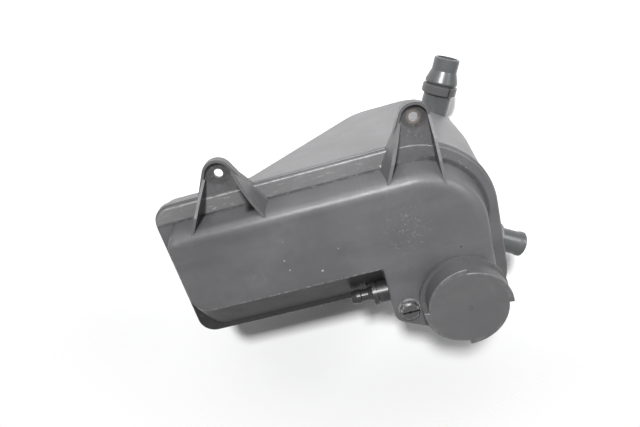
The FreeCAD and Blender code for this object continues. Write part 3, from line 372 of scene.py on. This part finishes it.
def face_wear_and_edge_highlight(n, colour, fine):
    """Painted highlight along the face's cap-side and left edges; a pale bleed rim, splashes, handling marks and a
    pit on the face.
    """
    face = n.ramp(n.z, *FACE_Z)
    # Painted highlight: lighter along the face's cap-side and left edges, where they catch the light
    edges = n.math("MAXIMUM", n.between(n.y, *CAP_SIDE_EDGE_Y), n.between(n.x, *LEFT_EDGE_X))
    edge_highlight = n.times(edges, face, n.ramp(n.x, *LEFT_OF_LOBE_X))
    colour = n.stain(colour, 0.4, edge_highlight, n.ramp(n.noise(300.0, 5.0, 0.7), 0.42, 0.66), 0.35)
    rim = n.ring_about(BLEED, 7.8, 8.3)
    colour = n.stain(colour, 0.4, rim, face, n.ramp(fine, 0.4, 0.55), 0.35)
    for spot, radius in SPLASHES:
        splash = n.round_about(spot, radius * 0.3, radius * 1.2)
        colour = n.stain(colour, 0.5, splash, face, 0.5)
    marks = n.math("MAXIMUM", n.scratches(260.0, 150.0, (0, 0, 0.5), 0.55),
                   n.scratches(120.0, 240.0, (0, 0, 0.8), 0.5))
    marks = n.times(marks, n.ramp(n.noise(330.0, 2.0), 0.48, 0.6))
    colour = n.stain(colour, 0.42, marks, n.round_about(HANDLED, 8.0, 24.0), face, 0.28)
    return n.stain(colour, 0.006, n.round_about(PIT, 0.4, 0.9), 0.85)


def ear_wear(n, colour, fine, low):
    """A darker ring in each ear's seat, dirt and grit in both ears' trays, and rust round the right-hand hole."""
    for ear in (EAR_LEFT, EAR_RIGHT):
        # Darker ring in each ear's seat round the hole
        seat = n.ring_about(ear, 4.4, 7.8, 1.2)
        colour = n.stain(colour, 0.02, seat, n.ramp(fine, 0.25, 0.55), 0.45)
        tray = n.times(n.round_about(ear, 7.0, 22.0), n.ramp(n.noise(150.0, 5.0, 0.7), 0.4, 0.62))
        colour = n.stain(colour, 0.03, tray, low, 0.45)
        grit = n.times(n.specks(520.0, 0.2, 0.3), n.round_about(ear, 8.0, 30.0))
        colour = n.stain(colour, 0.45, grit, low, 0.4)
    rust = n.times(n.round_about(EAR_RIGHT, 4.2, 6.0), n.ramp(fine, 0.25, 0.5), 0.55)
    return n.mix(rust, colour, (0.17, 0.138, 0.118, 1.0))


def cover_wear_and_painted_light(n, colour):
    """All the worn marks, dirt, painted shade and painted highlights on the cover, from the ledge up to the face.
    """
    fine = n.noise(260.0, 4.0, 0.6)
    low = n.ramp(n.z, *LOW_Z)
    colour = ledge_wear_and_painted_light(n, colour, fine, low)
    colour = wall_and_pocket_shade(n, colour, fine)
    colour = bend_wear(n, colour, fine, low)
    colour = face_wear_and_edge_highlight(n, colour, fine)
    return ear_wear(n, colour, fine, low)


def cap_edge_highlight(n, colour):
    """Painted highlight on the upper edge of the cap's grip."""
    # Painted highlight: lighter along the grip's upper rim
    edge = n.times(n.ring_about(NECK, 28.4, 33.0), n.between(n.z, 45.8, 46.4, 47.0, 47.5))
    return n.stain(colour, 0.35, edge, n.ramp(n.noise(210.0, 5.0, 0.7), 0.4, 0.65), 0.12)


def screw_slot_shade_and_wear(n, colour):
    """Painted shade in the driver slot, and a pale worn rim."""
    # Painted shade: dark inside the driver slot
    slot_shade = n.times(n.ramp(n.z, 32.7, 31.7), n.round_about(BLEED, 6.0, 7.2))
    colour = n.stain(colour, 0.008, slot_shade, 0.85)
    rim = n.ring_about(BLEED, 6.2, 7.5)
    return n.stain(colour, 0.4, rim, n.ramp(n.noise(420.0, 4.0), 0.45, 0.62), 0.4)


def rubber(name):
    """Black seal rubber with a dull bloom."""
    n = Nodes(name)
    bloom = n.ramp(n.noise(160.0, 4.0), 0.45, 0.75)
    n.surface("Base Color", n.mix(n.times(bloom, 0.4), grey(0.012), grey(0.06)))
    n.surface("Roughness", n.math("ADD", n.times(bloom, 0.2), 0.5))
    n.bump([(n.noise(1800.0, 2.0), 0.00004)])
    return n.material


def metal(name, colour, stain, rough):
    """Drawn or pressed metal with fine lines and a stained film."""
    n = Nodes(name)
    lines = n.noise(1.0, 3.0, 0.6, n.mapped((300.0, 300.0, 4000.0)))
    film = n.ramp(n.noise(120.0, 4.0, 0.6), 0.45, 0.75)
    darker = tuple(0.7 * part for part in colour)
    base = n.mix(n.times(lines, 0.35), (*colour, 1.0), (*darker, 1.0))
    n.surface("Base Color", n.mix(n.times(film, 0.5), base, (*stain, 1.0)))
    n.surface("Metallic", 1.0)
    n.surface("Roughness", n.math("ADD", n.times(film, 0.25), rough))
    n.bump([(lines, 0.00003)])
    return n.material


MATERIALS = {
    "cover_plastic": plastic("cover_plastic", 0.059, 0.089, 0.33, dust=0.05, specular=COVER_SPECULAR,
                             wear_and_painted_light=cover_wear_and_painted_light),
    "base_plastic": plastic("base_plastic", 0.114, 0.139, 0.46, dust=0.08, grain=1.3, pink=0.012),
    "nipple_plastic": plastic("nipple_plastic", 0.045, 0.066, 0.3, dust=0.05, grain=0.5, warm=-0.03,
                              pink=0.0),
    "ring_plastic": plastic("ring_plastic", 0.045, 0.058, 0.36, dust=0.05, grain=0.6),
    "vent_plastic": plastic("vent_plastic", 0.012, 0.018, 0.3, dust=0.02, grain=0.4, specular=0.3),
    "screw_plastic": plastic("screw_plastic", 0.034, 0.045, 0.38, dust=0.06, grain=0.6, wear_and_painted_light=screw_slot_shade_and_wear),
    "cap_plastic": plastic("cap_plastic", 0.057, 0.068, 0.46, dust=0.05, grain=1.5, wear_and_painted_light=cap_edge_highlight),
    "valve_plastic": plastic("valve_plastic", 0.10, 0.13, 0.4, dust=0.05, grain=0.6),
    "float_plastic": plastic("float_plastic", 0.5, 0.62, 0.6, dust=0.05, grain=2.5),
    "magnet": plastic("magnet", 0.03, 0.05, 0.5, dust=0.05, grain=2.0),
    "seal_rubber": rubber("seal_rubber"),
    "spring_steel": metal("spring_steel", (0.55, 0.55, 0.54), (0.3, 0.27, 0.24), 0.28),
    "valve_steel": metal("valve_steel", (0.6, 0.6, 0.58), (0.35, 0.31, 0.27), 0.32),
    "valve_brass": metal("valve_brass", (0.75, 0.55, 0.25), (0.3, 0.2, 0.09), 0.3),
}

for entry in frame["record"]["subparts"]:
    node = frame["nodes"][entry["node"]]
    node.data.materials.clear()
    node.data.materials.append(MATERIALS[entry["material_slot"]])


# Details, in millimetres

def skin(name, rings, closed=False):
    """Smooth object through rings of points, joined end to end or with a cap on each end."""
    mesh = bmesh.new()
    rows = [[mesh.verts.new(Vector(point) * MM) for point in ring] for ring in rings]
    follow = rows[1:] + rows[:1] if closed else rows[1:]
    for here, there in zip(rows, follow):
        for j in range(len(here)):
            i = (j + 1) % len(here)
            mesh.faces.new((here[j], there[j], there[i], here[i]))
    if not closed:
        mesh.faces.new(rows[0])
        mesh.faces.new(reversed(rows[-1]))
    bmesh.ops.recalc_face_normals(mesh, faces=mesh.faces)
    data = bpy.data.meshes.new(name)
    mesh.to_mesh(data)
    mesh.free()
    for face in data.polygons:
        face.use_smooth = True
    thing = bpy.data.objects.new(name, data)
    scene.collection.objects.link(thing)
    return thing


def dress(thing, slot, body="tank"):
    """Give a detail its material, slot and body."""
    thing.data.materials.append(MATERIALS[slot])
    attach(thing, body)


def outline(corners, steps=14):
    """Points round a closed outline of straight sides with an arc at each corner: x, y, radius."""
    points = []
    count = len(corners)
    for k in range(count):
        spot = Vector(corners[k][:2])
        back = (Vector(corners[k - 1][:2]) - spot).normalized()
        ahead = (Vector(corners[(k + 1) % count][:2]) - spot).normalized()
        half = back.angle(ahead) / 2
        radius = corners[k][2]
        centre = spot + (back + ahead).normalized() * (radius / math.sin(half))
        first = spot + back * (radius / math.tan(half)) - centre
        last = spot + ahead * (radius / math.tan(half)) - centre
        sweep = first.angle_signed(last)
        for step in range(steps + 1):
            points.append(centre + Matrix.Rotation(-sweep * step / steps, 2) @ first)
    return points


def sweep_round(name, points, profile):
    """Closed band that carries a small profile of out and up round an outline at the seam's height."""
    rings = []
    count = len(points)
    for k, point in enumerate(points):
        run = (points[(k + 1) % count] - points[k - 1]).normalized()
        rings.append([(point.x + run.y * out, point.y - run.x * out, up) for out, up in profile])
    return skin(name, rings, closed=True)


# Outline of the cover's flange: each corner's x, y and radius
FLANGE = [
    (-131.3, -131.1, 13.0),
    (25.3, -131.1, 5.0),
    (25.3, -146.0, 11.0),
    (60.0, -174.7, 25.0),
    (119.5, -174.7, 40.7),
    (119.5, -16.8, 62.0),
    (-131.3, -16.8, 15.0),
]
# Weld bead in the corner between the flange and the lower shell's lip, and the lip's parting line: out, up
WELD_BEAD = [(-0.4, -0.2), (1.0, -0.2), (0.8, 0.25), (0.4, 0.6), (-0.4, 0.8)]
PARTING_LINE = [(0.9, -2.6), (1.35, -2.4), (1.35, -2.1), (0.9, -1.9)]

# The bead takes the darker ring plastic, which paints the shade in the gap along the seam
dress(sweep_round("weld_bead_and_seam_shade", outline(FLANGE), WELD_BEAD), "ring_plastic")
dress(sweep_round("parting_line", outline(FLANGE), PARTING_LINE), "base_plastic")


def about_neck(radius, angle, level):
    """Point at a radius and angle about the neck's axis."""
    return (NECK[0] + radius * math.cos(angle), NECK[1] + radius * math.sin(angle), level)


def neck_thread(radius=23.8, height=1.2, root=1.1, crest=0.45, start=30.6, pitch=4.0, turns=2):
    """Thread ridge that winds up the filler neck under the cap and runs out at both ends."""
    steps = 48
    run_out = 10
    count = turns * steps
    rings = []
    for k in range(count + 1):
        angle = 2 * math.pi * k / steps
        level = start + pitch * k / steps
        fade = min(1.0, k / run_out, (count - k) / run_out)
        tip = radius + height * max(fade, 0.05)
        section = [(radius, -root), (tip, -crest), (tip, crest), (radius, root)]
        rings.append([about_neck(reach, angle, level + up) for reach, up in section])
    return skin("neck_thread", rings)


dress(neck_thread(), "cover_plastic")


def flash_sliver():
    """Torn sliver of weld flash that sticks out of the cap-side seam."""
    foot = [(-30.4, -131.6, -0.6), (-28.2, -131.6, -0.6), (-28.2, -131.6, 0.3), (-30.4, -131.6, 0.3)]
    tip = [(-29.6, -134.9, -1.3), (-28.9, -134.9, -1.3), (-28.9, -134.9, -1.0), (-29.6, -134.9, -1.0)]
    return skin("flash_sliver", [foot, tip])


dress(flash_sliver(), "base_plastic")


def coil_spring(node, radius, wire, turns, body):
    """Round-wire spring in a CAD spring's place."""
    low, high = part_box(node)
    base, top = low[2] / MM + wire, high[2] / MM - wire
    # A little thinner than the solid, so that the ends keep clear of their seats
    thick = 0.97 * wire
    steps = 36
    sides = 10
    count = turns * steps
    rings = []
    for k in range(count + 1):
        turned = 2 * math.pi * k / steps
        level = base + (top - base) * k / count
        around = [2 * math.pi * side / sides for side in range(sides)]
        rings.append([
            about_neck(radius + thick * math.cos(angle), turned, level + thick * math.sin(angle))
            for angle in around
        ])
    coil = skin(node + "_coil", rings)
    dress(coil, "spring_steel", body)
    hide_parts(node)
    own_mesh(coil)


coil_spring("pressure_spring", radius=8.6, wire=0.8, turns=5,
            body="cap_core")
coil_spring("vacuum_spring", radius=2.7, wire=0.5, turns=3,
            body="pressure_valve")


# Stage: white floor, soft light from the ear side, camera at the photograph's angle

def area_light(name, spot, aim, size, power):
    """Soft square light at spot, aimed at a point, in metres."""
    data = bpy.data.lights.new(name, "AREA")
    data.size = size
    data.energy = power
    lamp = bpy.data.objects.new(name, data)
    lamp.location = spot
    lamp.rotation_euler = (Vector(aim) - Vector(spot)).to_track_quat("-Z", "Y").to_euler()
    scene.collection.objects.link(lamp)


def white_floor(reach=5.0, middle=(0.0, -100.0), full=190.0, gone=400.0):
    """Plain pale floor that carries the shadow and fades into the white background."""
    data = bpy.data.meshes.new("floor")
    corners = [(-reach, -reach), (reach, -reach), (reach, reach), (-reach, reach)]
    data.from_pydata([(x, y, FLOOR_LEVEL * MM) for x, y in corners], [], [(0, 1, 2, 3)])
    floor = bpy.data.objects.new("floor", data)
    scene.collection.objects.link(floor)
    n = Nodes("floor_paper")
    tone = n.ramp(n.noise(3.0, 2.0), 0.3, 0.7)
    n.surface("Base Color", n.mix(tone, grey(0.84, -0.004), grey(0.86, -0.002)))
    n.surface("Roughness", 0.9)
    n.surface("Specular IOR Level", 0.0)
    fade = n.add("MixShader")
    n.link(n.round_about(middle, full, gone), fade.inputs[0])
    n.link(n.add("BsdfTransparent").outputs[0], fade.inputs[1])
    n.link(n.shader.outputs[0], fade.inputs[2])
    n.link(fade.outputs[0], n.tree.nodes["Material Output"].inputs["Surface"])
    data.materials.append(n.material)


def white_world(strength, seen):
    """Even dome light, white to the camera and in reflections."""
    world = bpy.data.worlds.new("studio")
    scene.world = world
    world.use_nodes = True
    tree = world.node_tree
    ground = tree.nodes["Background"]
    ground.inputs["Color"].default_value = (1, 1, 1, 1)
    path = tree.nodes.new("ShaderNodeLightPath")
    level = tree.nodes.new("ShaderNodeMix")
    level.inputs[2].default_value = strength
    level.inputs[3].default_value = seen
    white = path.outputs["Is Camera Ray"]
    for ray in ("Is Glossy Ray", "Is Transmission Ray"):
        either = tree.nodes.new("ShaderNodeMath")
        either.operation = "MAXIMUM"
        tree.links.new(white, either.inputs[0])
        tree.links.new(path.outputs[ray], either.inputs[1])
        white = either.outputs[0]
    tree.links.new(white, level.inputs[0])
    tree.links.new(level.outputs[0], ground.inputs["Strength"])


def photo_camera(focal=550.0, width=640.0, sensor=36.0):
    """Camera solved from the photograph: focal length and picture width in pixels, place in millimetres."""
    data = bpy.data.cameras.new("camera")
    data.sensor_fit = "HORIZONTAL"
    data.sensor_width = sensor
    data.lens = focal / width * sensor
    data.clip_start = 0.01
    camera = bpy.data.objects.new("camera", data)
    right = Vector((0.96358, -0.26723, 0.01047))
    up = Vector((0.24628, 0.87145, -0.42417))
    back = Vector((0.10422, 0.4113, 0.90552))
    turn = Matrix((right, up, back)).transposed().to_4x4()
    camera.matrix_world = Matrix.Translation(Vector((33.06, 116.99, 375.6)) * MM) @ turn
    scene.collection.objects.link(camera)
    scene.camera = camera


white_floor()
white_world(strength=0.08, seen=1.0)
area_light("key", (0.03, 0.725, 1.0), (0.0, -0.08, 0.0), size=0.1, power=25.5)
area_light("side", (1.0, 0.42, 0.62), (0.0, -0.08, 0.0), size=0.5, power=8.0)
area_light("low", (0.0, 1.1, 0.45), (0.0, -0.05, 0.0), size=0.7, power=9.0)
photo_camera()
scene.view_settings.view_transform = "Standard"
